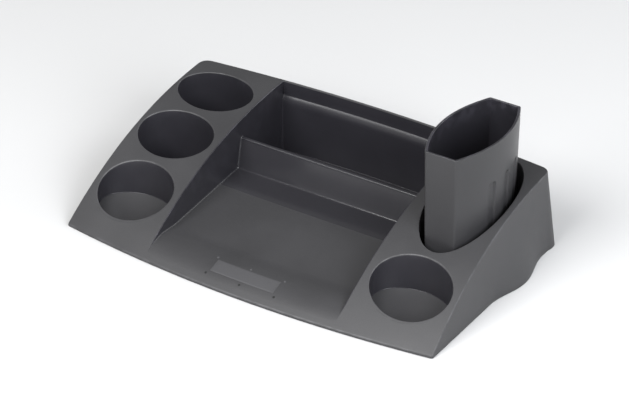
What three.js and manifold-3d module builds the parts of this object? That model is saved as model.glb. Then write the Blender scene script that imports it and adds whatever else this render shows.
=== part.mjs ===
// Desk organizer: a wedge-shaped moulded body with round wells, a sloping tray, a rear
// compartment and an oval socket, a pen cup that lifts out of the socket, and four rubber feet.
// Millimetres, +Z up, +Y towards the back. The origin is under the middle of the body,
// on the surface that the feet rest on.
import * as THREE from 'three';
import { mergeVertices } from 'three/addons/utils/BufferGeometryUtils.js';
import Module from 'manifold-3d';

const wasm = await Module();
wasm.setup();

// Body envelope
const baseHalfWidth = 180; // half of the width between the side skirts at the base
const topHalfWidth = 174.6; // the same at the back of the top surface
const frontCornerY = -97.5; // front edge at its two corners
const frontBow = 14; // how far the front edge bows forward of its corners
const backCornerY = 97.4; // back edge of the top surface at its two corners
const backBow = 10; // how far the back edge bows out behind its corners
const bodyHeight = 73.2; // back edge above the desk
const lipHeight = 2.5; // height of the upright front lip
const skirtClearance = 0.6; // the skirt's lower edge stays this far above the desk
const sideLean = 5.4 / bodyHeight; // how far the side skirts lean in, per mm of height
const backLean = 4.2 / bodyHeight; // how far the back skirt leans in, per mm of height
const frontCornerRadius = 2.5;
const backCornerRadius = 9;
const wall = 2.2; // moulded wall thickness

// Swelling low on each side skirt
const swellDepth = 8.4;
const swellY = 36; // where the swelling is deepest
const swellReachFront = 43;
const swellReachBack = 44;
const swellTop = 52; // height at which it fades out

// Round wells, seen from above as ellipses
const wellX = 136;
const wellYs = [-59, 0.4, 60.2];
const wellHalfWidth = 35.7; // across the object, at the rim
const wellHalfDepth = 25.8; // front to back, at the rim
const wellFloor = 5.9; // in the middle
const wellDish = 4.9; // how much higher the floor is round its edge
const wellFillet = 0.8;
const draft = 0.03; // how far the wells and the socket narrow on each side, per mm of depth

// Oval socket for the pen cup
const socket = { x: 136, y: 34, halfWidth: 33.2, halfDepth: 61.9, floor: 5.2 };

// Tray, divider and rear compartment
const trayHalfWidth = 93;
const crest = { startY: -106, startZ: 6.45, pullY: -95.6, y: -80.5, z: 13.3 }; // at the tray's front
const trayFloorFront = { y: -64, z: 12.9 };
const dividerFoot = { y: 30.7, z: 20.9 };
const dividerTop = { y: 35.8, z: 49, thickness: 2.8 };
const rearFloor = 5.2;
const rearFrontWallY = 40.2; // at the floor of the rear compartment
const rearBackWallY = 102.3; // at the floor, in the middle of the width
const ledge = { lowerY: 103, upperY: 105.9, z: 59.5, roundHeight: 7 };

// Pen cup
const cup = {
  top: 131,
  floorGap: 0.3,
  halfLength: 51.8,
  endHalfWidth: 14.3,
  midHalfWidth: 28,
  shrinkPerMm: 0.035 / 81.5,
  wall: 2,
  floor: 2.4,
};
const flute = { width: 8, depth: 0.8, top: 96, spacing: 22, offset: 9 };
const cupBottom = socket.floor + cup.floorGap;

// Rubber feet
const footRadius = 7;
const footHeight = 2.7;
const footGap = 0.3; // left under each seat, where the adhesive is
const footSeat = footHeight + footGap;
const footPlaces = {
  front_left: [-wellX, wellYs[0]],
  front_right: [wellX, wellYs[0]],
  back_left: [-wellX, wellYs[2]],
  back_right: [wellX, socket.y + 26],
};

const beyond = 20; // how far cutting solids reach past what they cut

// ---- Solids from three.js geometry, and back ----

function toSolid(geometry) {
  const plain = geometry.clone();
  plain.deleteAttribute('normal');
  plain.deleteAttribute('uv');
  const merged = mergeVertices(plain, 1e-4);
  const vertProperties = new Float32Array(merged.attributes.position.array);
  const triVerts = new Uint32Array(merged.index.array);
  return new wasm.Manifold(new wasm.Mesh({ numProp: 3, vertProperties, triVerts }));
}

function toGeometry(solid) {
  const mesh = solid.getMesh();
  const geometry = new THREE.BufferGeometry();
  geometry.setAttribute('position', new THREE.BufferAttribute(mesh.vertProperties, 3));
  geometry.setIndex(new THREE.BufferAttribute(mesh.triVerts, 1));
  return geometry;
}

// Moves every vertex of a geometry through a function of its own position.
function warp(geometry, move) {
  const position = geometry.attributes.position;
  const point = new THREE.Vector3();
  for (let i = 0; i < position.count; i += 1) {
    point.fromBufferAttribute(position, i);
    move(point);
    position.setXYZ(i, point.x, point.y, point.z);
  }
  return geometry;
}

// ---- The body's outside ----

const frontEdge = (x) => frontCornerY - frontBow * (1 - (x / baseHalfWidth) ** 2);
const backEdge = (x) => backCornerY + backBow * (1 - (x / topHalfWidth) ** 2);

// Height of the top surface at a share t of the way from the front edge to the back edge.
function topHeight(t) {
  const rise = 2.183 * t - 1.47 * t ** 2 + 0.287 * t ** 3;
  return lipHeight + (bodyHeight - lipHeight) * rise;
}

// How far a side skirt swells out at a place along it and a height.
function swell(y, z) {
  const reach = y < swellY ? swellReachFront : swellReachBack;
  const along = Math.max(-1, Math.min(1, (y - swellY) / reach));
  const up = Math.max(0, 1 - Math.max(0, z) / swellTop);
  return swellDepth * 0.5 * (1 + Math.cos(Math.PI * along)) * up ** 1.4;
}

// The base outline, moved in by inset, with bowed ends and rounded corners.
function baseOutline(inset) {
  const half = baseHalfWidth - inset;
  const front = (x) => frontEdge(x) + inset;
  const back = (x) => backEdge(x) + backLean * bodyHeight - inset;
  const frontTurn = Math.max(0.5, frontCornerRadius - inset);
  const backTurn = Math.max(0.5, backCornerRadius - inset);
  const sideFront = front(half) + frontTurn;
  const sideBack = back(half) - backTurn;
  const frontPull = 2 * front(0) - front(half - frontTurn);
  const backPull = 2 * back(0) - back(half - backTurn);
  const sideSteps = 16;
  const outline = new THREE.Shape();
  outline.moveTo(-half + frontTurn, front(half - frontTurn));
  outline.quadraticCurveTo(0, frontPull, half - frontTurn, front(half - frontTurn));
  outline.quadraticCurveTo(half, front(half), half, sideFront);
  for (let i = 1; i <= sideSteps; i += 1) {
    outline.lineTo(half, sideFront + ((sideBack - sideFront) * i) / sideSteps);
  }
  outline.quadraticCurveTo(half, back(half), half - backTurn, back(half - backTurn));
  outline.quadraticCurveTo(0, backPull, -half + backTurn, back(half - backTurn));
  outline.quadraticCurveTo(-half, back(half), -half, sideBack);
  for (let i = sideSteps - 1; i >= 0; i -= 1) {
    outline.lineTo(-half, sideFront + ((sideBack - sideFront) * i) / sideSteps);
  }
  outline.quadraticCurveTo(-half, front(half), -half + frontTurn, front(half - frontTurn));
  return outline;
}

// Everything below the top surface, with that surface lowered by depth along its normal.
function belowTop(depth) {
  const box = new THREE.BoxGeometry(2, 1, 1, 12, 13, 1);
  warp(box, (point) => {
    const x = point.x * (baseHalfWidth + beyond);
    const t = (point.y + 0.5) * 1.16 - 0.08;
    const run = backEdge(x) - frontEdge(x);
    const slope = (topHeight(t + 0.01) - topHeight(t - 0.01)) / (0.02 * run);
    const top = topHeight(t) - depth * Math.hypot(1, slope);
    point.set(x, frontEdge(x) + t * run, point.z > 0 ? top : -2 * beyond);
  });
  return toSolid(box);
}

// The wedge that the outside of the body fills, or its inside when inset by the wall.
function wedge(inset, bottom) {
  const prism = new THREE.ExtrudeGeometry(baseOutline(inset), {
    depth: bodyHeight + beyond - bottom,
    steps: 6,
    bevelEnabled: false,
    curveSegments: 10,
  });
  prism.translate(0, 0, bottom);
  warp(prism, (point) => {
    const edge = Math.abs(point.x) > baseHalfWidth - backCornerRadius - inset;
    const out = edge ? swell(point.y, point.z) : 0;
    point.x *= (baseHalfWidth - sideLean * point.z + out) / baseHalfWidth;
    point.y -= backLean * point.z * Math.max(0, point.y / backCornerY);
  });
  return toSolid(prism).intersect(belowTop(inset));
}

// ---- Hollows in the body ----

// A tapering plug with a flat or a dished bottom, elliptical from above, made larger all round by
// grow. Its stated size is at the height of the top surface over its middle.
function ovalPlug(place, grow, fillet) {
  const { x, y, halfWidth, halfDepth, floor, dish = 0 } = place;
  const top = bodyHeight + beyond;
  const rim = topHeight((y - frontEdge(x)) / (backEdge(x) - frontEdge(x)));
  const radiusAt = (z) => halfWidth - draft * (rim - z) + grow;
  const bottom = floor + dish - grow;
  const profile = [];
  for (const share of dish > 0 ? [0, 0.4, 0.7, 0.88] : [0]) {
    const r = (radiusAt(bottom) - fillet) * share;
    profile.push(new THREE.Vector2(r, bottom - dish * (1 - share ** 2)));
  }
  const turns = fillet > 0 ? 2 : 0;
  for (let i = 0; i <= turns; i += 1) {
    const angle = turns ? (Math.PI / 2) * (i / turns) : 0;
    const r = radiusAt(bottom) - fillet * (1 - Math.sin(angle));
    profile.push(new THREE.Vector2(r, bottom + fillet * (1 - Math.cos(angle))));
  }
  profile.push(new THREE.Vector2(radiusAt(top), top));
  profile.push(new THREE.Vector2(0, top));
  const plug = new THREE.LatheGeometry(profile, 32);
  plug.rotateX(Math.PI / 2);
  plug.scale(1, (halfDepth + grow) / (halfWidth + grow), 1);
  plug.translate(x, y, 0);
  return toSolid(plug);
}

const roundWell = (side, y) => ({
  x: side * wellX,
  y,
  halfWidth: wellHalfWidth,
  halfDepth: wellHalfDepth,
  floor: wellFloor,
  dish: wellDish,
});

// A front-to-back profile drawn as (y, z), carried across the width and bowed with the edges.
function acrossWidth(profile, halfWidth) {
  const block = new THREE.ExtrudeGeometry(profile, {
    depth: 2 * halfWidth,
    steps: 6,
    bevelEnabled: false,
    curveSegments: 4,
  });
  block.applyMatrix4(new THREE.Matrix4().makeBasis(
    new THREE.Vector3(0, 1, 0),
    new THREE.Vector3(0, 0, 1),
    new THREE.Vector3(1, 0, 0),
  ));
  block.translate(-halfWidth, 0, 0);
  warp(block, (point) => {
    const nearFront = THREE.MathUtils.smoothstep(-point.y, -dividerFoot.y, -trayFloorFront.y);
    const nearBack = THREE.MathUtils.smoothstep(point.y, rearFrontWallY, rearBackWallY);
    point.y += frontBow * (point.x / baseHalfWidth) ** 2 * nearFront;
    point.y -= backBow * (point.x / topHalfWidth) ** 2 * nearBack;
  });
  return toSolid(block);
}

// The roll from the front slope over a low crest and down onto the tray floor.
function drawRoll(profile, drop) {
  const floorSlope = (dividerFoot.z - trayFloorFront.z) / (dividerFoot.y - trayFloorFront.y);
  profile.lineTo(crest.startY, crest.startZ - drop);
  profile.quadraticCurveTo(crest.pullY, crest.z - drop, crest.y, crest.z - drop);
  profile.bezierCurveTo(
    crest.y + 6, crest.z - drop,
    trayFloorFront.y - 6, trayFloorFront.z - 6 * floorSlope - drop,
    trayFloorFront.y, trayFloorFront.z - drop,
  );
}

// Open space above the tray, and behind the divider down to the rear floor.
function traySpace() {
  const above = bodyHeight + beyond;
  const profile = new THREE.Shape();
  profile.moveTo(crest.startY, above);
  drawRoll(profile, 0);
  profile.lineTo(dividerFoot.y - 1.6, dividerFoot.z - 0.1);
  profile.quadraticCurveTo(dividerFoot.y, dividerFoot.z, dividerFoot.y + 0.3, dividerFoot.z + 1.6);
  profile.lineTo(dividerTop.y, dividerTop.z - 1);
  profile.quadraticCurveTo(dividerTop.y + 0.2, dividerTop.z, dividerTop.y + 1.3, dividerTop.z);
  const behind = dividerTop.y + dividerTop.thickness;
  profile.quadraticCurveTo(behind, dividerTop.z, behind, dividerTop.z - 1.2);
  profile.lineTo(rearFrontWallY, rearFloor + 2);
  profile.quadraticCurveTo(rearFrontWallY, rearFloor, rearFrontWallY + 2, rearFloor);
  profile.lineTo(rearBackWallY - 2, rearFloor);
  profile.quadraticCurveTo(rearBackWallY, rearFloor, rearBackWallY, rearFloor + 2);
  profile.lineTo(ledge.lowerY, ledge.z - ledge.roundHeight);
  profile.quadraticCurveTo(ledge.lowerY, ledge.z, ledge.upperY, ledge.z);
  profile.lineTo(backEdge(0) - wall, bodyHeight);
  profile.lineTo(backEdge(0) - wall, above);
  return acrossWidth(profile, trayHalfWidth);
}

// What the underside hollow has to leave for the tray floor, the divider and the rear compartment.
function trayBlock() {
  const above = bodyHeight + beyond;
  const profile = new THREE.Shape();
  profile.moveTo(crest.startY, above);
  drawRoll(profile, wall * 1.1);
  profile.lineTo(dividerFoot.y + wall, dividerFoot.z - wall);
  profile.lineTo(dividerTop.y + 0.7, dividerTop.z - 10);
  profile.lineTo(dividerTop.y + 1.1, dividerTop.z - 10);
  profile.lineTo(rearFrontWallY - wall, rearFloor - wall);
  profile.lineTo(rearBackWallY + wall, rearFloor - wall);
  profile.lineTo(ledge.upperY - 0.2, ledge.z - 3);
  profile.lineTo(backEdge(0) + beyond, ledge.z - 3);
  profile.lineTo(backEdge(0) + beyond, above);
  return acrossWidth(profile, trayHalfWidth + wall);
}

function upright(radius, bottom, top, x, y) {
  const post = new THREE.CylinderGeometry(radius, radius, top - bottom, 20);
  post.rotateX(Math.PI / 2);
  post.translate(x, y, (top + bottom) / 2);
  return toSolid(post);
}

function organizerBody() {
  const wells = [...wellYs.map((y) => roundWell(-1, y)), roundWell(1, wellYs[0])];
  let hollow = wedge(wall, -beyond).subtract(trayBlock());
  for (const place of wells) {
    hollow = hollow.subtract(ovalPlug(place, wall, 0));
  }
  hollow = hollow.subtract(ovalPlug(socket, wall, 0));
  for (const [x, y] of Object.values(footPlaces)) {
    hollow = hollow.subtract(upright(footRadius + 1, footSeat, wellFloor, x, y));
  }
  let body = wedge(0, skirtClearance).subtract(hollow).subtract(traySpace());
  for (const place of wells) {
    body = body.subtract(ovalPlug(place, 0, wellFillet));
  }
  return body.subtract(ovalPlug(socket, 0, 2.5));
}

// ---- The pen cup ----

// Flat ends and bowed sides, moved in by inset, tapering towards the bottom.
function barrel(inset, bottom, top) {
  const halfLength = cup.halfLength - inset;
  const endHalf = cup.endHalfWidth - inset * 0.8;
  const rise = cup.midHalfWidth - inset - endHalf;
  const radius = (halfLength ** 2 + rise ** 2) / (2 * rise);
  const centre = cup.midHalfWidth - inset - radius;
  const sweep = Math.asin(halfLength / radius);
  const outline = new THREE.Shape();
  outline.moveTo(-endHalf, -halfLength);
  outline.lineTo(endHalf, -halfLength);
  outline.absarc(centre, 0, radius, -sweep, sweep, false);
  outline.lineTo(-endHalf, halfLength);
  outline.absarc(-centre, 0, radius, Math.PI - sweep, Math.PI + sweep, false);
  const column = new THREE.ExtrudeGeometry(outline, {
    depth: top - bottom,
    steps: 1,
    bevelEnabled: false,
    curveSegments: 16,
  });
  warp(column, (point) => {
    const z = bottom + point.z;
    const size = 1 - (cup.top - z) * cup.shrinkPerMm;
    point.set(socket.x + point.x * size, socket.y + point.y * size, z);
  });
  return toSolid(column);
}

// A shallow upright groove with a round top, for one bowed side of the cup. It follows the
// side's lean and its turn at that distance from the middle of the side.
function fluteCut(side, offset) {
  const half = flute.width / 2;
  const groove = new THREE.Shape();
  groove.moveTo(-half, cupBottom - 2);
  groove.lineTo(half, cupBottom - 2);
  groove.lineTo(half, flute.top - half);
  groove.absarc(0, flute.top - half, half, 0, Math.PI, false);
  const cutter = new THREE.ExtrudeGeometry(groove, {
    depth: 12,
    bevelEnabled: false,
    curveSegments: 4,
  });
  cutter.rotateX(Math.PI / 2);
  cutter.rotateZ(Math.PI / 2);
  cutter.translate(-flute.depth, 0, -flute.top);
  const size = 1 - (cup.top - flute.top) * cup.shrinkPerMm;
  const rise = cup.midHalfWidth - cup.endHalfWidth;
  const outward = cup.endHalfWidth + rise * (1 - (offset / cup.halfLength) ** 2);
  cutter.rotateY(Math.atan(cup.midHalfWidth * cup.shrinkPerMm));
  cutter.rotateZ(Math.atan2(2 * rise * offset, cup.halfLength ** 2));
  cutter.translate(outward * size, offset * size, flute.top);
  if (side < 0) {
    cutter.rotateZ(Math.PI);
  }
  cutter.translate(socket.x, socket.y, 0);
  return toSolid(cutter);
}

function penCup() {
  let body = barrel(0, cupBottom, cup.top);
  for (const side of [1, -1]) {
    for (const step of [-1, 0, 1]) {
      body = body.subtract(fluteCut(side, flute.offset + step * flute.spacing));
    }
  }
  return body.subtract(barrel(cup.wall, cupBottom + cup.floor, cup.top + beyond));
}

// ---- Named pieces ----

const charcoal = new THREE.MeshStandardMaterial({ color: 0x2c2c2f, roughness: 0.55, metalness: 0 });
const cupCharcoal = new THREE.MeshStandardMaterial({ color: 0x2a2a2d, roughness: 0.45, metalness: 0 });
const rubber = new THREE.MeshStandardMaterial({ color: 0x161617, roughness: 0.9, metalness: 0 });

function piece(name, solid, material) {
  const mesh = new THREE.Mesh(toGeometry(solid), material);
  mesh.name = name;
  return mesh;
}

const organizer = new THREE.Group();
organizer.name = 'desk_organizer';
organizer.add(piece('organizer_body', organizerBody(), charcoal));
organizer.add(piece('pen_cup', penCup(), cupCharcoal));
for (const [place, [x, y]] of Object.entries(footPlaces)) {
  organizer.add(piece(`rubber_foot_${place}`, upright(footRadius, 0, footHeight, x, y), rubber));
}

export default organizer;
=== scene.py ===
import math

import bmesh
import bpy
from mathutils import Matrix, Vector


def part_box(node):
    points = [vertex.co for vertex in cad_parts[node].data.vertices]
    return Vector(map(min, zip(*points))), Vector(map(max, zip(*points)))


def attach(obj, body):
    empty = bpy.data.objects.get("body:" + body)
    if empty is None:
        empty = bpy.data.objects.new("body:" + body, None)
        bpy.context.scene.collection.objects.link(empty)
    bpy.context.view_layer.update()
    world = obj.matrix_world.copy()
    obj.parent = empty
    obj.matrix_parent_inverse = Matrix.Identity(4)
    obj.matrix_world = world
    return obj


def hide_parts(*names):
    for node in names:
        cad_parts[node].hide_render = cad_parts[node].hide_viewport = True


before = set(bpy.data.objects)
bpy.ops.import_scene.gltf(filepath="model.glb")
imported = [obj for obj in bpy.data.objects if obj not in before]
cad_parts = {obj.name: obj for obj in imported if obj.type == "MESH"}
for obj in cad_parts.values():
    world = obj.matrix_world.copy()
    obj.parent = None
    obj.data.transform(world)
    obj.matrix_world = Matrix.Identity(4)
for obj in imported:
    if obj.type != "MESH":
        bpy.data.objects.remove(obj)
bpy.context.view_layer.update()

mm = 0.001  # shapes are drawn in millimetres and brought to metres when a piece is finished
quarters = (0.25, 0.5, 0.75, 1)  # the steps of a small rounding


# small helpers for points and rings

def spread(start, end, count):  # evenly spaced values, both ends included
    return [start + (end - start) * i / (count - 1) for i in range(count)]


def smoothstep(value, low, high):
    share = min(1.0, max(0.0, (value - low) / (high - low)))
    return share * share * (3 - 2 * share)


def curve3(a, b, c, share):  # a bend from a to c that is pulled to b
    a, b, c = Vector(a), Vector(b), Vector(c)
    return a.lerp(b, share).lerp(b.lerp(c, share), share)


def curve4(a, b, c, d, share):
    return curve3(a, b, c, share).lerp(curve3(b, c, d, share), share)


def circlePoints(middle, radius, count, across=Vector((1, 0, 0)), along=Vector((0, 1, 0))):
    return [
        middle + (across * math.cos(turn) + along * math.sin(turn)) * radius
        for turn in spread(0, 2 * math.pi, count + 1)[:-1]
    ]


def startRing(bm, points, closed=True):
    if closed:
        ring = bmesh.ops.create_circle(bm, segments=len(points), radius=1)["verts"]
        for vert, point in zip(ring, points):
            vert.co = point
        return list(ring)
    ring = [bm.verts.new(point) for point in points]
    for a, b in zip(ring, ring[1:]):
        bm.edges.new((a, b))
    return ring


# extrudes a ring and moves the new one to the points; finish is one material place or one a face
def extendRing(bm, ring, points, closed=True, finish=0, rub=0.0):
    ends = ring[1:] + (ring[:1] if closed else [])
    edges = [bm.edges.get(pair) for pair in zip(ring, ends)]
    made = bmesh.ops.extrude_edge_only(bm, edges=edges)["geom"]
    old = set(ring)
    follows = {}
    for item in made:
        if isinstance(item, bmesh.types.BMVert):
            for edge in item.link_edges:
                if edge.other_vert(item) in old:
                    follows[edge.other_vert(item)] = item
    fresh = [follows[vert] for vert in ring]
    rubLayer = bm.verts.layers.float.get("edgeRub")
    for vert, point in zip(fresh, points):
        vert.co = point
        if rubLayer:
            vert[rubLayer] = rub
    ends = fresh[1:] + (fresh[:1] if closed else [])
    for i, pair in enumerate(zip(fresh, ends)):
        face = bm.edges.get(pair).link_faces[0]
        face.material_index = finish if isinstance(finish, int) else finish[i]
    return fresh


def capRing(bm, ring, finish=0):
    bm.faces.new(ring).material_index = finish


def finishPiece(bm, name, body, materials, merge=0.01):
    bmesh.ops.remove_doubles(bm, verts=bm.verts, dist=merge)
    bmesh.ops.recalc_face_normals(bm, faces=bm.faces)
    bmesh.ops.scale(bm, vec=(mm, mm, mm), verts=bm.verts)
    mesh = bpy.data.meshes.new(name)
    bm.to_mesh(mesh)
    bm.free()
    mesh.shade_smooth()
    for material in materials:
        mesh.materials.append(material)
    piece = bpy.data.objects.new(name, mesh)
    bpy.context.scene.collection.objects.link(piece)
    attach(piece, body)
    return piece


def shadeEvenly(piece):
    weighted = piece.modifiers.new("evenShading", "WEIGHTED_NORMAL")
    weighted.keep_sharp = True


# camera, at the angle the organizer is seen from

camera = {
    "azimuth": 33.317,  # degrees round from the front
    "elevation": 31.917,
    "roll": -0.218,
    "distance": 2208.8,  # mm
    "target": (4.289, 2.413, 30.0),
    "lens": 151.43,
}


def aimCamera(settings):
    around, above = math.radians(settings["azimuth"]), math.radians(settings["elevation"])
    back = Vector((
        math.sin(around) * math.cos(above),
        -math.cos(around) * math.cos(above),
        math.sin(above),
    ))
    right = (-back).cross(Vector((0, 0, 1))).normalized()
    up = right.cross(-back)
    turn = math.radians(settings["roll"])
    level = right * math.cos(turn) + up * math.sin(turn)
    upright = up * math.cos(turn) - right * math.sin(turn)
    place = (Vector(settings["target"]) + back * settings["distance"]) * mm
    data = bpy.data.cameras.new("studioCamera")
    data.lens = settings["lens"]
    data.sensor_width = 36
    data.clip_end = 50
    data.clip_start = 0.05
    eye = bpy.data.objects.new("studioCamera", data)
    turned = Matrix((level, upright, back)).transposed().to_4x4()
    eye.matrix_world = Matrix.Translation(place) @ turned
    bpy.context.scene.collection.objects.link(eye)
    bpy.context.scene.camera = eye


aimCamera(camera)
print("camera set")


# materials

class Wire:  # a socket of a material, which takes part in sums
    def __init__(self, tree, socket):
        self.tree = tree
        self.socket = socket

    def node(self, kind, settings, inputs, output=0):
        made = self.tree.nodes.new(kind)
        for key, value in settings.items():
            if key == "stops":
                ramp = made.color_ramp
                while len(ramp.elements) < len(value):
                    ramp.elements.new(0.5)
                for element, (place, colour) in zip(ramp.elements, value):
                    element.position = place
                    element.color = colour
            else:
                setattr(made, key, value)
        for key, value in inputs.items():
            if isinstance(value, Wire):
                self.tree.links.new(value.socket, made.inputs[key])
            else:
                made.inputs[key].default_value = value
        return Wire(self.tree, made.outputs[output])

    def sum(self, operation, first, second):
        return self.node("ShaderNodeMath", {"operation": operation}, {0: first, 1: second})

    def __add__(self, other):
        return self.sum("ADD", self, other)

    __radd__ = __add__

    def __mul__(self, other):
        return self.sum("MULTIPLY", self, other)

    __rmul__ = __mul__

    def __sub__(self, other):
        return self.sum("SUBTRACT", self, other)

    def __rsub__(self, other):
        return self.sum("SUBTRACT", other, self)

    def between(self, low, high):  # 0 below low, 1 above high
        return self.node(
            "ShaderNodeMapRange",
            {"interpolation_type": "SMOOTHSTEP"},
            {"Value": self, "From Min": low, "From Max": high},
        )

    def blend(self, first, second):  # colours, mixed by this value
        return self.node(
            "ShaderNodeMix",
            {"data_type": "RGBA", "clamp_factor": True},
            {0: self, 6: first, 7: second},
            output=2,
        )


def grey(value, tint=0.0):  # a grey that leans to blue
    return (value, value * (1 - tint * 0.2), value * (1 + tint), 1)


def mouldedPlastic(name, look):
    material = bpy.data.materials.new(name)
    material.use_nodes = True
    tree = material.node_tree
    shader = tree.nodes["Principled BSDF"]
    place = Wire(tree, tree.nodes.new("ShaderNodeTexCoord").outputs["Object"])
    noise = {
        key: place.node(
            "ShaderNodeTexNoise",
            {"noise_dimensions": "3D"},
            {"Vector": place, "Scale": scale, "Detail": detail, "Roughness": 0.55},
        )
        for key, (scale, detail) in {
            "grain": (look["grainScale"], 3),
            "cloud": (14, 4),  # slow change of tone across the moulding
            "scuff": (95, 6),
        }.items()
    }
    rub = Wire(tree, tree.nodes.new("ShaderNodeAttribute").outputs["Fac"])
    rub.socket.node.attribute_name = "edgeRub"
    worn = rub * noise["scuff"].between(0.42, 0.62) * look["wear"]
    cloud = noise["cloud"].between(0.3, 0.7)
    speck = noise["grain"].between(0.35, 0.65)
    tone = cloud.blend(grey(look["dark"], look["tint"]), grey(look["light"], look["tint"]))
    tone = (speck * look["speck"]).blend(tone, grey(look["light"] * 1.5, look["tint"]))
    tone = worn.blend(tone, grey(look["rubbed"], look["tint"]))
    rough = look["roughness"] + (cloud - 0.5) * look["roughSwing"]
    rough = rough + (noise["scuff"] - 0.5) * look["roughSwing"] - worn * 0.15
    bump = place.node(
        "ShaderNodeBump",
        {},
        {"Strength": look["bump"], "Distance": look["bumpDepth"], "Height": noise["grain"]},
    )
    tree.links.new(tone.socket, shader.inputs["Base Color"])
    tree.links.new(rough.socket, shader.inputs["Roughness"])
    tree.links.new(bump.socket, shader.inputs["Normal"])
    shader.inputs["Specular IOR Level"].default_value = look["gloss"]
    shader.inputs["IOR"].default_value = 1.5
    return material


plastics = {
    "sparkTextured": {
        "dark": 0.030, "light": 0.037, "rubbed": 0.075, "tint": 0.05, "speck": 0.25,
        "roughness": 0.50, "roughSwing": 0.08, "gloss": 0.5, "wear": 0.5,
        "grainScale": 1500, "bump": 0.35, "bumpDepth": 0.0003,
    },
    # the walls' plastic is smoother than the top's, and darker and bluer than it: painted shade for
    # walls in the hollows
    "smoothShadedWalls": {
        "dark": 0.016, "light": 0.020, "rubbed": 0.06, "tint": 0.18, "speck": 0.1,
        "roughness": 0.33, "roughSwing": 0.04, "gloss": 0.5, "wear": 0.4,
        "grainScale": 900, "bump": 0.04, "bumpDepth": 0.0002,
    },
    # polished plastic at the divider's foot; its darker, bluer tone than the top's plastic is
    # painted shade
    "polishedShadedStrip": {
        "dark": 0.024, "light": 0.027, "rubbed": 0.06, "tint": 0.12, "speck": 0.05,
        "roughness": 0.14, "roughSwing": 0.05, "gloss": 0.5, "wear": 0.2,
        "grainScale": 400, "bump": 0.03, "bumpDepth": 0.0002,
    },
    "labelFace": {
        "dark": 0.056, "light": 0.060, "rubbed": 0.09, "tint": 0.05, "speck": 0.1,
        "roughness": 0.50, "roughSwing": 0.05, "gloss": 0.5, "wear": 0.3,
        "grainScale": 900, "bump": 0.08, "bumpDepth": 0.0002,
    },
    "cupSatin": {
        "dark": 0.024, "light": 0.029, "rubbed": 0.06, "tint": 0.06, "speck": 0.2,
        "roughness": 0.42, "roughSwing": 0.06, "gloss": 0.5, "wear": 0.4,
        "grainScale": 1400, "bump": 0.2, "bumpDepth": 0.0002,
    },
    # dark rubber of the feet, also laid on the lower pips of the label as painted shade
    "footRubberAndPipShade": {
        "dark": 0.012, "light": 0.018, "rubbed": 0.04, "tint": 0.0, "speck": 0.3,
        "roughness": 0.85, "roughSwing": 0.1, "gloss": 0.3, "wear": 0.8,
        "grainScale": 2200, "bump": 0.5, "bumpDepth": 0.0003,
    },
}
finishes = {name: mouldedPlastic(name, look) for name, look in plastics.items()}
# the smooth place carries the darker, bluer plastic, which is painted shade on walls and hollows
matte, smooth, polished = 0, 1, 2  # material places on the organizer, two of them on the cup
print("materials made")


# the organizer's outer form

shell = {
    "baseHalfWidth": 180.0,  # mm, half of the width at the desk
    "topHalfWidth": 174.6,
    "frontCornerY": -97.5,
    "frontBow": 14.0,
    "backCornerY": 97.4,
    "backBow": 10.0,
    "height": 73.2,
    "lip": 2.5,  # height of the front edge
    "rise": (2.183, -1.47, 0.287),  # how the top climbs from the front edge to the back
    "clearance": 0.6,  # of the skirt above the desk
    "sideLean": 5.4 / 73.2,
    "backLean": 4.2 / 73.2,
    "frontCornerRadius": 1.6,
    "backCornerRadius": 9.0,
    "edgeRound": 1.0,
    "wall": 2.2,
    "baseSharpen": 3.0,  # how far the back corners draw out towards the desk
    "swell": {"depth": 8.4, "y": 36.0, "front": 43.0, "back": 44.0, "top": 52.0, "fade": 1.4},
}
tray = {
    "halfWidth": 93.0,
    # where the front slope rolls over, how steeply it arrives, and its reach into the floor
    "crest": {"start": -106.0, "top": (-80.5, 13.6), "steepness": 0.97, "reach": 6, "steps": 16},
    "floorFront": (-64.0, 12.9),
    "polishedFrom": 3.0,
    "foot": (30.7, 20.9),
    "footRound": {"before": 1.6, "drop": 0.14, "after": 0.3},
    "divider": (35.8, 49.0, 2.8),  # front, top and thickness
    "dividerRound": (2.1, 0.5),  # its top is rounder at the front than at the back
    "rearFloor": 5.2,
    "rearFront": 40.2,
    "rearBack": 102.3,
    "rearRound": (2, 0.6),  # at the foot of the divider and of the back wall
    "ledge": {"lowerY": 103.0, "upperY": 105.9, "z": 59.5, "drop": 9.0, "pull": 3.2},
    "rim": {"below": 0.9, "in": 0.75},  # where the band above the ledge turns into the top
    "cornerFillet": 1.2,
    "wallRound": 0.8,
}
thinning = {"divider": 0.45, "ledgeBand": 0.3, "frontLip": 0.45}  # shares of the full wall
wells = {
    "x": 136.0,
    "y": (-59.0, 0.4, 60.2),
    "halfWidth": 35.7,
    "halfDepth": 25.8,
    "floor": 5.9,
    "dish": 4.9,  # how much higher the floor is round its edge
    "fillet": 0.5,
    "draft": 0.03,
    "rimRound": 0.9,
    "finish": smooth,
}
socket = {
    "x": 136.0, "y": 34.0, "halfWidth": 33.2, "halfDepth": 61.9,
    "floor": 5.2, "dish": 0.0, "fillet": 2.5, "draft": 0.045, "rimRound": 0.9, "finish": matte,
}


def frontEdge(x):
    return shell["frontCornerY"] - shell["frontBow"] * (1 - (x / shell["baseHalfWidth"]) ** 2)


def backEdge(x):
    return shell["backCornerY"] + shell["backBow"] * (1 - (x / shell["topHalfWidth"]) ** 2)


def topZ(x, y):  # height of the curved top surface
    t = (y - frontEdge(x)) / (backEdge(x) - frontEdge(x))
    first, second, third = shell["rise"]
    share = first * t + second * t ** 2 + third * t ** 3
    return shell["lip"] + (shell["height"] - shell["lip"]) * share


def sideX(y):  # where a side skirt meets the top surface
    x = shell["topHalfWidth"]
    for _ in range(6):
        x = shell["baseHalfWidth"] - shell["sideLean"] * topZ(x, y)
    return x


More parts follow.
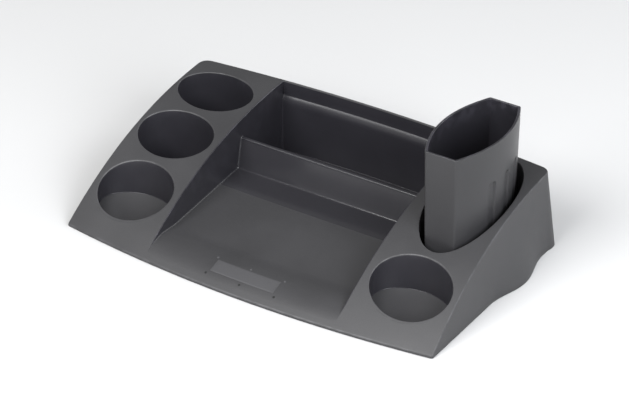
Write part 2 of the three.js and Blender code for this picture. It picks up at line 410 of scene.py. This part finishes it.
def swellOut(y, z):
    form = shell["swell"]
    reach = form["front"] if y < form["y"] else form["back"]
    along = max(-1.0, min(1.0, (y - form["y"]) / reach))
    up = max(0.0, 1 - max(0.0, z) / form["top"])
    return form["depth"] * 0.5 * (1 + math.cos(math.pi * along)) * up ** form["fade"]


def cornerPoints(front):  # a rounded corner of the top surface, from its end edge to its side
    inset = shell["edgeRound"]
    edge, sign = (frontEdge, 1) if front else (backEdge, -1)
    x, y = shell["topHalfWidth"], 0.0
    for _ in range(8):
        y = edge(x) + sign * inset
        x = sideX(y) - inset
    radius = shell["frontCornerRadius" if front else "backCornerRadius"] - inset
    start = Vector((x - radius, edge(x - radius) + sign * inset))
    end = Vector((sideX(y + sign * radius) - inset, y + sign * radius))
    steps = 6 if front else 9
    return [curve3(start, (x, y), end, i / steps) for i in range(steps + 1)]


# the profile of the tray from the front edge to the back edge, as (y, z, fillet, finish, onTop)

def trayProfile():
    points = []

    def add(y, z, fillet, finish, onTop=False):
        points.append((y, z, fillet, finish, onTop))

    def bend(a, b, c, steps, fillet, finish):
        for i in range(1, steps + 1):
            add(*curve3(a, b, c, i / steps), fillet, finish)

    def line(a, b, steps, fillet, finish):
        for i in range(1, steps + 1):
            add(a[0] + (b[0] - a[0]) * i / steps, a[1] + (b[1] - a[1]) * i / steps, fillet, finish)

    fillet = tray["cornerFillet"]
    crest = tray["crest"]
    start = (crest["start"], topZ(0, crest["start"]))
    for y in spread(frontEdge(0) + shell["edgeRound"], crest["start"], 12):
        add(y, 0, 0, matte, True)
    slope = (topZ(0, start[0] + 0.1) - start[1]) / 0.1 * crest["steepness"]
    pull = (start[0] + (crest["top"][1] - start[1]) / slope, crest["top"][1])
    bend(start, pull, crest["top"], crest["steps"], fillet, matte)
    floorY, floorZ = tray["floorFront"]
    footY, footZ = tray["foot"]
    rise = (footZ - floorZ) / (footY - floorY)
    reach = crest["reach"]
    for i in range(1, 13):
        add(*curve4(
            crest["top"], (crest["top"][0] + reach, crest["top"][1]),
            (floorY - reach, floorZ - reach * rise), (floorY, floorZ), i / 12,
        ), fillet, matte)
    for y in spread(floorY, tray["polishedFrom"], 10)[1:]:
        add(y, floorZ + (y - floorY) * rise, fillet, matte)
    footRound = tray["footRound"]
    beforeFoot = (footY - footRound["before"], footZ - footRound["drop"])
    afterFoot = (footY + footRound["after"], footZ + footRound["before"])
    for y in spread(tray["polishedFrom"], beforeFoot[0], 5)[1:]:
        add(y, floorZ + (y - floorY) * rise, fillet, polished)
    bend(beforeFoot, (footY, footZ), afterFoot, 4, fillet, polished)

    dividerY, dividerZ, thickness = tray["divider"]
    dividerBack = dividerY + thickness
    turn, backTurn = tray["dividerRound"]
    line(afterFoot, (dividerY, dividerZ - turn), 4, fillet, polished)
    bend((dividerY, dividerZ - turn), (dividerY, dividerZ), (dividerY + turn, dividerZ),
         10, fillet, smooth)
    bend((dividerBack - backTurn, dividerZ), (dividerBack, dividerZ),
         (dividerBack, dividerZ - backTurn), 4, fillet, smooth)

    floor, near, far = tray["rearFloor"], tray["rearFront"], tray["rearBack"]
    turn, farTurn = tray["rearRound"]
    line((dividerBack, dividerZ - backTurn), (near, floor + turn), 5, fillet, smooth)
    bend((near, floor + turn), (near, floor), (near + turn, floor), 4, fillet, smooth)
    line((near + turn, floor), (far - farTurn, floor), 7, fillet, smooth)
    bend((far - farTurn, floor), (far, floor), (far, floor + farTurn), 3, fillet, smooth)

    ledge, rim = tray["ledge"], tray["rim"]
    lower, upper = (ledge["lowerY"], ledge["z"] - ledge["drop"]), (ledge["upperY"], ledge["z"])
    line((far, floor + farTurn), lower, 5, fillet, smooth)
    bend(lower, (ledge["lowerY"] + 0.1, ledge["z"] - ledge["pull"]), upper, 12, 0.5, smooth)
    # the band above the ledge takes the smooth place only for its darker tone: painted shade
    bandTop = (backEdge(0) - shell["wall"], shell["height"] - rim["below"])
    line(upper, bandTop, 3, 0.4, smooth)
    rimY = bandTop[0] + rim["in"]
    rimZ = topZ(0, rimY)
    bend(bandTop, (bandTop[0], rimZ), (rimY, rimZ), 3, 0.3, matte)
    y, z, _, _, _ = points.pop()  # the last of these lies on the top surface
    add(y, z, 0, matte, True)
    add(backEdge(0) - shell["edgeRound"], 0, 0, matte, True)
    return points


profile = trayProfile()
crestIndex = max(i for i, p in enumerate(profile) if p[4] and p[0] < 0)
rimIndex = min(i for i, p in enumerate(profile) if p[4] and p[0] > 0)


def bowed(x, y):  # a place on the middle line carried to x along the bowed edges
    nearFront = smoothstep(-y, -tray["foot"][0], -tray["floorFront"][0])
    nearBack = smoothstep(y, tray["rearFront"], tray["rearBack"])
    shift = shell["frontBow"] * (x / shell["baseHalfWidth"]) ** 2 * nearFront
    return y + shift - shell["backBow"] * (x / shell["topHalfWidth"]) ** 2 * nearBack


def profilePoint(x, y, z, onTop):
    place = bowed(x, y)
    if onTop:
        return Vector((x, place, topZ(x, place)))
    crestY = tray["crest"]["start"]
    lift = topZ(x, bowed(x, crestY)) - topZ(0, crestY)
    return Vector((x, place, z + lift * (1 - smoothstep(y, crestY, tray["crest"]["top"][0]))))


def trayRow(x):
    return [profilePoint(x, y, z, onTop) for y, z, _, _, onTop in profile]


def sideNormals(row):  # directions square to the profile, into the open space
    normals = []
    for i, point in enumerate(row):
        before = (point - row[max(0, i - 1)]).yz
        after = (row[min(len(row) - 1, i + 1)] - point).yz
        legs = [leg.normalized() for leg in (before, after) if leg.length > 1e-6]
        middle = sum(legs, Vector((0, 0))).normalized()
        stretch = 1 / max(0.6, middle.dot(legs[0]))  # keeps a sharp turn from shooting out
        normals.append(Vector((0, -middle.y * stretch, middle.x * stretch)))
    return normals


wallRow = trayRow(tray["halfWidth"])
wallHeight = [max(0.0, topZ(tray["halfWidth"], p.y) - p.z) for p in wallRow]
fillets = [
    0 if onTop else min(fillet, 0.4 * tall)
    for (_, _, fillet, _, onTop), tall in zip(profile, wallHeight)
]


def trayStation(side, kind, value):  # one row of points across the profile
    half = tray["halfWidth"]
    if kind == "floor":
        return [
            profilePoint(side * value * (half - r), y, z, onTop)
            for (y, z, _, _, onTop), r in zip(profile, fillets)
        ]
    row = []
    for corner, normal, r in zip(wallRow, sideNormals(wallRow), fillets):
        flat = Vector((half - r, corner.y, corner.z))
        point = curve3(flat, corner, corner + normal * r, value)
        row.append(Vector((side * point.x, point.y, point.z)))
    return row


def buildTray(bm):
    stations = [(-1, "wall", s) for s in (1, 0.75, 0.5, 0.25)]
    stations += [(-1, "floor", u) for u in spread(1, 0, 14)]
    stations += [(1, "floor", u) for u in spread(0, 1, 14)[1:]]
    stations += [(1, "wall", s) for s in quarters]
    rows = [trayStation(*station) for station in stations]
    kinds = [p[3] for p in profile[1:]]
    ring = startRing(bm, rows[0], closed=False)
    for row in rows[1:]:
        ring = extendRing(bm, ring, row, closed=False, finish=kinds)
    return rows[0], rows[-1]


# the wings beside the tray, with their wells and the socket

wingCuts = {-1: (-29.3, 30.3), 1: (-30.5,)}  # where the cells meet on each side


def innerLine(side):  # the wing's edge along the tray, as (x, y, rounding) on the top surface
    half, steep = tray["halfWidth"], 0.3  # the rounding is at most this share of the wall's height
    front = [p.y for p in wallRow[:crestIndex + 1]]
    rimY = wallRow[rimIndex].y
    rollEnd = crestIndex + tray["crest"]["steps"] + 1
    middle = [p.y for p in wallRow[crestIndex + 1:rollEnd]]  # in step with the roll
    stops = [middle[-1], *wingCuts[side], rimY - 1.2]
    for a, b in zip(stops, stops[1:]):
        middle += spread(a, b, max(2, round((b - a) / 2.8) + 1))[1:]
    low = wallRow[crestIndex:crestIndex + 30]
    line = []
    for y in front + middle + [rimY, wallRow[-1].y]:
        depth = tray["wallRound"] / steep
        for p, q in zip(low, low[1:]):
            if p.y <= y <= q.y:
                floorZ = p.z + (q.z - p.z) * (y - p.y) / (q.y - p.y)
                depth = topZ(half, y) - floorZ
        outside = y <= front[-1] + 1e-6 or y >= rimY - 1e-6
        turn = 0 if outside else min(tray["wallRound"], steep * max(0, depth))
        line.append((half + turn, y, turn))
    return line


def cutLine(y):  # across a wing, where two cells meet
    start, end = tray["halfWidth"] + tray["wallRound"], sideX(y) - shell["edgeRound"]
    return [(x, y) for x in spread(start, end, 24)]


def cellBorder(side, low, high):  # round one cell of a wing, from its inner front end outwards
    inset = shell["edgeRound"]
    inner = innerLine(side)
    half = tray["halfWidth"]
    if low is None:
        corner = cornerPoints(True)
        loop = [(x, frontEdge(x) + inset) for x in spread(half, corner[0].x, 25)[:-1]]
        loop += [tuple(p) for p in corner]
        sideLow = corner[-1].y
    else:
        loop = cutLine(low)
        sideLow = low
    corner = cornerPoints(False)
    sideHigh = corner[-1].y if high is None else high
    steps = round((sideHigh - sideLow) / 3.0)
    loop += [(sideX(y) - inset, y) for y in spread(sideLow, sideHigh, steps + 1)[1:-1]]
    if high is None:
        loop += [tuple(p) for p in reversed(corner)]
        loop += [(x, backEdge(x) - inset) for x in spread(corner[0].x, half, 25)[1:]]
    else:
        loop += list(reversed(cutLine(high)))
    start = -1e9 if low is None else low
    end = 1e9 if high is None else high
    edge = [(x, y) for x, y, _ in inner if start + 1e-6 < y < end - 1e-6]
    if high is None:
        edge = edge[:-1]
    if low is None:
        edge = edge[1:]
    loop += list(reversed(edge))
    return [Vector((x, y, topZ(x, y))) for x, y in loop]


def buildOval(bm, side, place, border):  # the top of one cell and the well sunk in it
    cx, cy = place["x"], place["y"]
    a, b = place["halfWidth"], place["halfDepth"]
    rimZ = topZ(cx, cy)
    angles = [math.atan2((p.y - cy) / b, (p.x - cx) / a) for p in border]

    def oval(angle, z, grow=0.0):
        wide = a - place["draft"] * (rimZ - z)
        return Vector((
            cx + (wide + grow) * math.cos(angle),
            cy + (wide * b / a + grow) * math.sin(angle),
            z,
        ))

    def rimPoint(angle, grow=0.0):
        point = oval(angle, rimZ, grow)
        for _ in range(4):
            point = oval(angle, topZ(point.x, point.y), grow)
        return point

    def mirrored(points):
        return [Vector((side * p.x, p.y, p.z)) for p in points]

    turn = place["rimRound"]
    rim = [rimPoint(angle) for angle in angles]
    outer = [rimPoint(angle, turn) for angle in angles]
    lower = [oval(angle, p.z - turn) for angle, p in zip(angles, rim)]
    ring = startRing(bm, mirrored(outer))
    top = ring
    for share in (0.12, 0.3, 0.5, 0.7, 0.88, 1):
        row = [p.lerp(q, share) for p, q in zip(outer, border)]
        for point in row:
            point.z = topZ(point.x, point.y)
        top = extendRing(bm, top, mirrored(row), finish=matte)
    for share in quarters:
        row = [curve3(p, q, r, share) for p, q, r in zip(outer, rim, lower)]
        ring = extendRing(bm, ring, mirrored(row), finish=matte, rub=1 if share < 0.9 else 0.3)
    floor, fillet, finish = place["floor"], place["fillet"], place["finish"]
    foot = floor + place["dish"]
    for share in spread(0, 1, 8)[1:]:
        row = [oval(angle, p.z + (foot + fillet - p.z) * share) for angle, p in zip(angles, lower)]
        ring = extendRing(bm, ring, mirrored(row), finish=finish)
    for share in spread(0, 1, 5)[1:]:
        bend = math.pi / 2 * share
        z = foot + fillet * (1 - math.sin(bend))
        row = [oval(angle, foot + fillet, -fillet * (1 - math.cos(bend))) for angle in angles]
        for point in row:
            point.z = z
        ring = extendRing(bm, ring, mirrored(row), finish=finish)
    for share in (0.92, 0.8, 0.66, 0.5, 0.34, 0.18, 0.06):
        row = [Vector((cx, cy, floor)).lerp(oval(angle, foot, -fillet), share) for angle in angles]
        for point in row:
            point.z = floor + place["dish"] * share ** 2
        ring = extendRing(bm, ring, mirrored(row), finish=matte)
    capRing(bm, ring, matte)


def buildWingWall(bm, side, lowerRow):  # the flat wall between a wing and the tray
    half = tray["halfWidth"]
    start, end = wallRow[crestIndex].y - 1e-6, wallRow[rimIndex].y + 1e-6
    line = [(x, y, r) for x, y, r in innerLine(side) if start <= y <= end]
    top = [Vector((x, y, topZ(x, y))) for x, y, _ in line]
    corner = [Vector((half, y, topZ(half, y))) for _, y, _ in line]
    under = [p - Vector((0, 0, r)) for p, (_, _, r) in zip(corner, line)]
    ring = startRing(bm, [Vector((side * p.x, p.y, p.z)) for p in top], closed=False)
    for share in quarters:
        row = [curve3(p, q, r, share) for p, q, r in zip(top, corner, under)]
        ring = extendRing(bm, ring, [Vector((side * p.x, p.y, p.z)) for p in row],
                          closed=False, finish=smooth, rub=1 if share < 0.9 else 0.3)
    outline = [Vector((side * half, p.y, p.z)) for p in reversed(under)]
    outline += lowerRow[crestIndex + 1:rimIndex]
    face = bm.faces.new([bm.verts.new(p) for p in outline])
    face.material_index = smooth


def outerRing(bm):  # the open edge of the top, in order round it
    edges = {edge for edge in bm.edges if edge.is_boundary}
    ring = [min((v for edge in edges for v in edge.verts), key=lambda v: (v.co.y, abs(v.co.x)))]
    edge = next(e for e in ring[0].link_edges if e in edges)
    while True:
        edges.discard(edge)
        after = edge.other_vert(ring[-1])
        if after is ring[0]:
            break
        ring.append(after)
        edge = next(e for e in after.link_edges if e in edges)
    return ring


def buildSkirt(bm):
    turn = shell["edgeRound"]
    ring = outerRing(bm)
    count = len(ring)
    inner = [v.co.copy() for v in ring]
    outs, corners = [], []
    for i, point in enumerate(inner):
        along = (inner[(i + 1) % count] - inner[i - 1]).xy.normalized()
        out = Vector((along.y, -along.x))
        if out.dot(point.xy) < 0:
            out = -out
        x, y = point.x + out.x * turn, point.y + out.y * turn
        outs.append(out)
        corners.append(Vector((x, y, topZ(x, y))))

    def skirtPoint(corner, out, z):
        drop = corner.z - z
        lean = out / max(abs(out.x), abs(out.y))
        sideways = math.copysign(smoothstep(abs(out.x), 0.5, 0.9), out.x)
        draw = shell["baseSharpen"] * 2 * abs(out.x * max(0.0, out.y)) * drop / shell["height"]
        outwards = lean.x * shell["sideLean"] * drop + sideways * swellOut(corner.y, z)
        backwards = max(0.0, lean.y) * shell["backLean"] * drop
        return Vector((
            corner.x + outwards + out.x * draw, corner.y + backwards + out.y * draw, z,
        ))

    below = [skirtPoint(c, o, c.z - turn) for c, o in zip(corners, outs)]
    for share in (0.2, 0.4, 0.6, 0.8, 1):
        row = [curve3(p, q, r, share) for p, q, r in zip(inner, corners, below)]
        ring = extendRing(bm, ring, row, rub=1 if share < 0.9 else 0.3)
    for share in spread(0, 1, 13)[1:]:
        row = []
        for corner, out in zip(corners, outs):
            start = corner.z - turn
            row.append(skirtPoint(corner, out, start + (shell["clearance"] - start) * share))
        ring = extendRing(bm, ring, row)


def wallShare(point):  # how much of the full wall a place has
    x, y, z = point
    footY, footZ = tray["foot"]
    onDivider = footY - 0.6 < y < tray["rearFront"] + 0.5 and z > footZ + 0.2
    if onDivider and abs(x) < tray["halfWidth"] - 0.5:
        return thinning["divider"]
    onBand = y > 90 and z > tray["ledge"]["z"] - 4
    if onBand and abs(x) < tray["halfWidth"] + 8:
        return thinning["ledgeBand"]
    if y < frontEdge(x) + 7:
        return thinning["frontLip"]
    return 1.0


def buildOrganizer():
    bm = bmesh.new()
    bm.verts.layers.float.new("edgeRub")
    leftRow, rightRow = buildTray(bm)
    for side, row in ((-1, leftRow), (1, rightRow)):
        buildWingWall(bm, side, row)
        limits = [None, *wingCuts[side], None]
        for i, (low, high) in enumerate(zip(limits, limits[1:])):
            place = dict(wells, y=wells["y"][i])
            if side == 1 and i == 1:
                place = socket
            buildOval(bm, side, place, cellBorder(side, low, high))
    bmesh.ops.remove_doubles(bm, verts=bm.verts, dist=0.01)
    bm.normal_update()
    # the two walls beside the tray are flat and meet the rest at a sharp line
    walls = [face for face in bm.faces if len(face.verts) > 60 and abs(face.normal.x) > 0.9]
    for edge in {edge for face in walls for edge in face.edges}:
        edge.smooth = False
    bmesh.ops.triangulate(bm, faces=walls, ngon_method="BEAUTY")
    buildSkirt(bm)
    body = finishPiece(
        bm, "organizer_moulding", "base",
        [finishes["sparkTextured"], finishes["smoothShadedWalls"], finishes["polishedShadedStrip"]],
    )
    group = body.vertex_groups.new(name="wallShare")
    for vert in body.data.vertices:
        group.add([vert.index], wallShare(vert.co / mm), "REPLACE")
    thick = body.modifiers.new("wallThickness", "SOLIDIFY")
    thick.thickness = shell["wall"] * mm
    thick.offset = -1
    thick.use_even_offset = False
    thick.vertex_group = "wallShare"
    shadeEvenly(body)
    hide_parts("organizer_body")
    return body


organizer = buildOrganizer()
print("organizer built:", len(organizer.data.polygons), "faces")


# pen cup

cupBox = [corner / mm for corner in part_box("pen_cup")]
penCup = {
    "x": socket["x"],
    "y": socket["y"],
    "top": cupBox[1].z,
    "bottom": cupBox[0].z,
    "halfLength": 51.8,
    "endHalfWidth": 14.3,
    "midHalfWidth": 28.0,
    "shrink": 0.035 / 81.5,  # share of its size lost per mm of depth
    "wall": 2.0,
    "floor": 2.4,
    "cornerRadius": 1.3,
    "rimRound": 0.5,
    "bottomRound": 1.5,
    "flutes": {
        "width": 8.0, "depth": 1.5, "edge": 0.3, "top": 96.0, "offset": 9.0, "spacing": 22.0,
    },
    "ringHeights": ((20, 45, 70), (110, 124)),  # below and above the ends of the flutes
    "floorRound": 3,
}


def cupOutline(inset, corner):  # flat ends and bowed sides, anticlockwise from the front end
    length = penCup["halfLength"] - inset
    end = penCup["endHalfWidth"] - 0.8 * inset
    middle = penCup["midHalfWidth"] - inset

    def bow(y):
        return end + (middle - end) * (1 - (y / length) ** 2)

    half = [Vector((x, -length)) for x in spread(0, end - corner, 9)]
    near = -length + corner
    half += [curve3(half[-1], (end, -length), (bow(near), near), i / 4) for i in range(1, 5)]
    half += [Vector((bow(y), y)) for y in spread(near, -near, 170)[1:]]
    half += [curve3(half[-1], (end, length), (end - corner, length), i / 4) for i in range(1, 5)]
    half += [Vector((x, length)) for x in spread(end - corner, 0, 9)[1:-1]]
    return half + [-p for p in half]


def fluteDepth(point, z):
    flutes = penCup["flutes"]
    side = 1 if point.x > 0 else -1
    if abs(point.x) < penCup["endHalfWidth"]:
        return 0.0
    half = flutes["width"] / 2
    deep = 0.0
    for step in (-1, 0, 1):
        across = point.y - side * (flutes["offset"] + step * flutes["spacing"])
        above = max(0.0, z - (flutes["top"] - half))
        outside = math.hypot(across, above) - half
        deep = max(deep, 1 - smoothstep(outside, -flutes["edge"], flutes["edge"]))
    return flutes["depth"] * deep


def narrowed(row, share):  # a row drawn in to a share of its width, and a little at its ends
    x, y = penCup["x"], penCup["y"]
    along = 0.7 + 0.3 * share
    return [Vector((x + (p.x - x) * share, y + (p.y - y) * along, p.z)) for p in row]


def cupRow(outline, z, fluted=False):
    size = 1 - (penCup["top"] - z) * penCup["shrink"]
    row = []
    for p in outline:
        x = p.x
        if fluted:
            x -= math.copysign(fluteDepth(p, z), p.x)
        row.append(Vector((penCup["x"] + x * size, penCup["y"] + p.y * size, z)))
    return row


def buildCup():
    bm = bmesh.new()
    bm.verts.layers.float.new("edgeRub")
    corner = penCup["cornerRadius"]
    bottom, top = penCup["bottom"], penCup["top"]
    turn, lip, wall = penCup["bottomRound"], penCup["rimRound"], penCup["wall"]
    outer = cupOutline(0, corner)
    tucked = cupOutline(turn, corner)
    ring = startRing(bm, cupRow(tucked, bottom))
    under = ring
    for share in (0.7, 0.35):
        under = extendRing(bm, under, narrowed(cupRow(tucked, bottom), share))
    capRing(bm, under)
    for share in quarters:
        row = [curve3(a, b, c, share) for a, b, c in zip(
            cupRow(tucked, bottom), cupRow(outer, bottom), cupRow(outer, bottom + turn, True),
        )]
        ring = extendRing(bm, ring, row, rub=0.6)
    fluteTop = penCup["flutes"]["top"]
    below, above = penCup["ringHeights"]
    heights = [*below, fluteTop - 10, *spread(fluteTop - 8, fluteTop + 2, 12), *above, top - lip]
    for z in heights:
        ring = extendRing(bm, ring, cupRow(outer, z, True), rub=0.0)
    rimOut = cupOutline(lip, corner * 0.8)
    for share in quarters:
        row = [curve3(a, b, c, share) for a, b, c in zip(
            cupRow(outer, top - lip), cupRow(outer, top), cupRow(rimOut, top),
        )]
        ring = extendRing(bm, ring, row, rub=1)
    rimIn = cupOutline(wall - lip, corner * 0.5)
    inner = cupOutline(wall, corner * 0.5)
    ring = extendRing(bm, ring, cupRow(rimIn, top), rub=1, finish=smooth)
    for share in quarters:
        row = [curve3(a, b, c, share) for a, b, c in zip(
            cupRow(rimIn, top), cupRow(inner, top), cupRow(inner, top - lip),
        )]
        ring = extendRing(bm, ring, row, rub=1, finish=smooth)
    floor, floorTurn = bottom + penCup["floor"], penCup["floorRound"]
    for z in spread(top - lip, floor + floorTurn, 9)[1:]:
        ring = extendRing(bm, ring, cupRow(inner, z), finish=smooth)
    last = cupRow(cupOutline(wall + floorTurn, corner), floor)
    for share in quarters:
        row = [curve3(a, b, c, share) for a, b, c in zip(
            cupRow(inner, floor + floorTurn), cupRow(inner, floor), last,
        )]
        ring = extendRing(bm, ring, row, finish=smooth)
    for share in (0.7, 0.35):
        ring = extendRing(bm, ring, narrowed(last, share), finish=smooth)
    capRing(bm, ring, smooth)
    cup = finishPiece(bm, "pen_cup_shell", "cup",
                      [finishes["cupSatin"], finishes["smoothShadedWalls"]], merge=0.002)
    shadeEvenly(cup)
    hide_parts("pen_cup")
    return cup


cupPiece = buildCup()
print("pen cup built:", len(cupPiece.data.polygons), "faces")


# feet and the seats they are stuck to

foot = {
    "radius": 7.0, "height": 2.7, "turn": 0.6, "hollowRadius": 3.0, "hollow": 0.25,
    "seatRadius": 8.0, "seatGap": 0.3, "seatTurn": 0.4,
}


def buildFoot(node):
    low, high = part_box(node)
    middle = (low + high) / 2 / mm
    bm = bmesh.new()
    bm.verts.layers.float.new("edgeRub")
    radius, height, turn = foot["radius"], foot["height"], foot["turn"]
    rings = [
        (radius - turn, 0.0), (radius - 0.2, 0.18), (radius, turn),
        (radius, height - 0.4), (radius - 0.3, height),
    ]
    hollow = Vector((middle.x, middle.y, foot["hollow"]))  # a shallow dish underneath
    ring = startRing(bm, circlePoints(hollow, foot["hollowRadius"], 40))
    capRing(bm, ring)
    for wide, z in rings:
        points = circlePoints(Vector((middle.x, middle.y, z)), wide, 40)
        ring = extendRing(bm, ring, points, rub=0.5)
    capRing(bm, ring)
    piece = finishPiece(bm, node + "_pad", "base", [finishes["footRubberAndPipShade"]])
    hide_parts(node)
    return middle


def buildSeats(places):
    bm = bmesh.new()
    bm.verts.layers.float.new("edgeRub")
    radius, turn = foot["seatRadius"], foot["seatTurn"]
    for middle in places:
        low = foot["height"] + foot["seatGap"]
        underSocket = middle.x > 0 and middle.y > 0
        high = (socket["floor"] if underSocket else wells["floor"]) - 1.0  # ends inside the wall
        rings = [
            circlePoints(Vector((middle.x, middle.y, z)), wide, 40)
            for wide, z in ((radius - turn, low), (radius, low + turn), (radius, high))
        ]
        ring = startRing(bm, rings[0])
        capRing(bm, ring)
        for points in rings[1:]:
            ring = extendRing(bm, ring, points)
        capRing(bm, ring)
    return finishPiece(bm, "foot_seats", "base", [finishes["sparkTextured"]])


footNodes = [node for node in sorted(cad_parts) if node.startswith("rubber_foot")]
footPlaces = [buildFoot(node) for node in footNodes]
buildSeats(footPlaces)
print("feet built:", len(footPlaces))


# label pad on the roll at the front of the tray, with its pips

label = {
    "halfWidth": 31.0,
    "front": -100.2,
    "back": -87.8,
    "proud": 0.3,
    "sunk": 0.6,  # how far the pad reaches into the moulding
    "turn": 0.15,
    "flatness": 0.6,  # 0 follows the roll, 1 is flat
    "upperPips": {"y": -85.4, "x": (-33.0, 0.0, 33.0), "height": 0.4, "finish": 0},
    # the lower pips take the dark rubber material: painted shade for the dark dots they show
    "lowerPips": {"y": -103.0, "x": (-33.5, 0.0, 33.5), "height": 0.16, "finish": 1},
    "pipRadius": 1.1,
    "pipDepth": 0.24,
    "pipSteps": (-1, 0, 0.3, 0.6, 0.85, 0.97),
}


def rollPoint(x, y, lift=0.0):  # a place on the roll, raised square to it
    for (y0, z0, _, _, top0), (y1, z1, _, _, _) in zip(profile, profile[1:]):
        if y0 <= y <= y1:
            a = profilePoint(x, y0, z0, top0)
            b = profilePoint(x, y1, z1, top0 and profile[crestIndex][0] >= y1)
            along = (b - a).normalized()
            return a.lerp(b, (y - y0) / (y1 - y0)) + Vector((0, -along.z, along.y)) * lift
    raise ValueError("off the tray: " + str(y))


def buildLabel():
    bm = bmesh.new()
    bm.verts.layers.float.new("edgeRub")
    ys = spread(label["front"], label["back"], 9)
    xs = spread(-label["halfWidth"], label["halfWidth"], 17)

    def platePoint(x, y, lift):  # between the roll and the flat across it
        near, far = rollPoint(x, ys[0], lift), rollPoint(x, ys[-1], lift)
        flat = near.lerp(far, (y - ys[0]) / (ys[-1] - ys[0]))
        return rollPoint(x, y, lift).lerp(flat, label["flatness"])

    def plateRing(x):
        ring = [platePoint(x, y, label["proud"]) for y in ys]
        return ring + [platePoint(x, y, -label["sunk"]) for y in reversed(ys)]

    ring = startRing(bm, plateRing(xs[0]))
    capRing(bm, ring)
    for x in xs[1:]:
        ring = extendRing(bm, ring, plateRing(x))
    capRing(bm, ring)
    bm.normal_update()
    rim = [edge for edge in bm.edges if edge.calc_face_angle(0) > 1.0
           and min(vert.normal.z for vert in edge.verts) > 0]
    bmesh.ops.bevel(bm, geom=rim, offset=label["turn"], segments=2, profile=0.5,
                    affect="EDGES", material=-1)
    across = Vector((1, 0, 0))
    for pips in (label["upperPips"], label["lowerPips"]):
        for x in pips["x"]:
            base = rollPoint(x, pips["y"])
            up = (rollPoint(x, pips["y"], 1) - base).normalized()
            rings = []
            for share in label["pipSteps"]:
                radius = label["pipRadius"] * math.sqrt(1 - max(0.0, share) ** 2)
                height = share * (label["pipDepth"] if share < 0 else pips["height"])
                rings.append(circlePoints(base + up * height, radius, 20, across, up.cross(across)))
            ring = startRing(bm, rings[0])
            capRing(bm, ring, pips["finish"])
            for points in rings[1:]:
                ring = extendRing(bm, ring, points, finish=pips["finish"])
            capRing(bm, ring, pips["finish"])
    # the second material, the feet's dark rubber, is painted shade on the lower pips
    return finishPiece(bm, "label_pad", "base",
                       [finishes["labelFace"], finishes["footRubberAndPipShade"]], merge=0.001)


buildLabel()
print("label pad built")


# floor and light

studio = {
    "floor": 0.59,
    "horizon": 1.0,  # strength of the surroundings, low down and overhead
    "zenith": 0.26,
    "fade": (0.02, 0.3),  # between which heights the one turns into the other
    "lights": {  # power in watts, side in metres, place in metres, colour
        "overhead": (61, 1.3, (-0.35, -1.5, 1.6), (1, 1, 1)),
        "side": (67, 1.4, (1.9, -0.9, 1.25), (0.95, 0.97, 1.0)),
        "rear": (20, 1.3, (1.2, 1.6, 1.2), (0.95, 0.97, 1.0)),
    },
}


def buildFloor():
    bm = bmesh.new()
    bmesh.ops.create_grid(bm, x_segments=1, y_segments=1, size=6)
    mesh = bpy.data.meshes.new("studioFloor")
    bm.to_mesh(mesh)
    bm.free()
    floor = bpy.data.objects.new("studioFloor", mesh)
    bpy.context.scene.collection.objects.link(floor)
    paper = bpy.data.materials.new("palePaper")
    paper.use_nodes = True
    shader = paper.node_tree.nodes["Principled BSDF"]
    shader.inputs["Base Color"].default_value = grey(studio["floor"])
    shader.inputs["Roughness"].default_value = 0.9
    shader.inputs["Specular IOR Level"].default_value = 0.1
    mesh.materials.append(paper)


def buildSurroundings():
    world = bpy.data.worlds.new("studioWorld")
    world.use_nodes = True
    tree = world.node_tree
    way = Wire(tree, tree.nodes.new("ShaderNodeTexCoord").outputs["Generated"])
    height = way.node("ShaderNodeSeparateXYZ", {}, {0: way}, output=2)
    low, high = studio["horizon"], studio["zenith"]
    strength = low - height.between(*studio["fade"]) * (low - high)
    sky = tree.nodes["Background"]
    sky.inputs["Color"].default_value = (1, 1, 1, 1)
    tree.links.new(strength.socket, sky.inputs["Strength"])
    bpy.context.scene.world = world


def buildLights():
    for name, (power, size, place, colour) in studio["lights"].items():
        data = bpy.data.lights.new(name + "Light", "AREA")
        data.energy = power
        data.size = size
        data.color = colour
        lamp = bpy.data.objects.new(name + "Light", data)
        lamp.location = place
        aim = Vector((0, 0, 0.03)) - Vector(place)
        lamp.rotation_euler = aim.to_track_quat("-Z", "Y").to_euler()
        bpy.context.scene.collection.objects.link(lamp)


buildFloor()
buildSurroundings()
buildLights()
bpy.context.scene.view_settings.view_transform = "Standard"
print("studio lit")
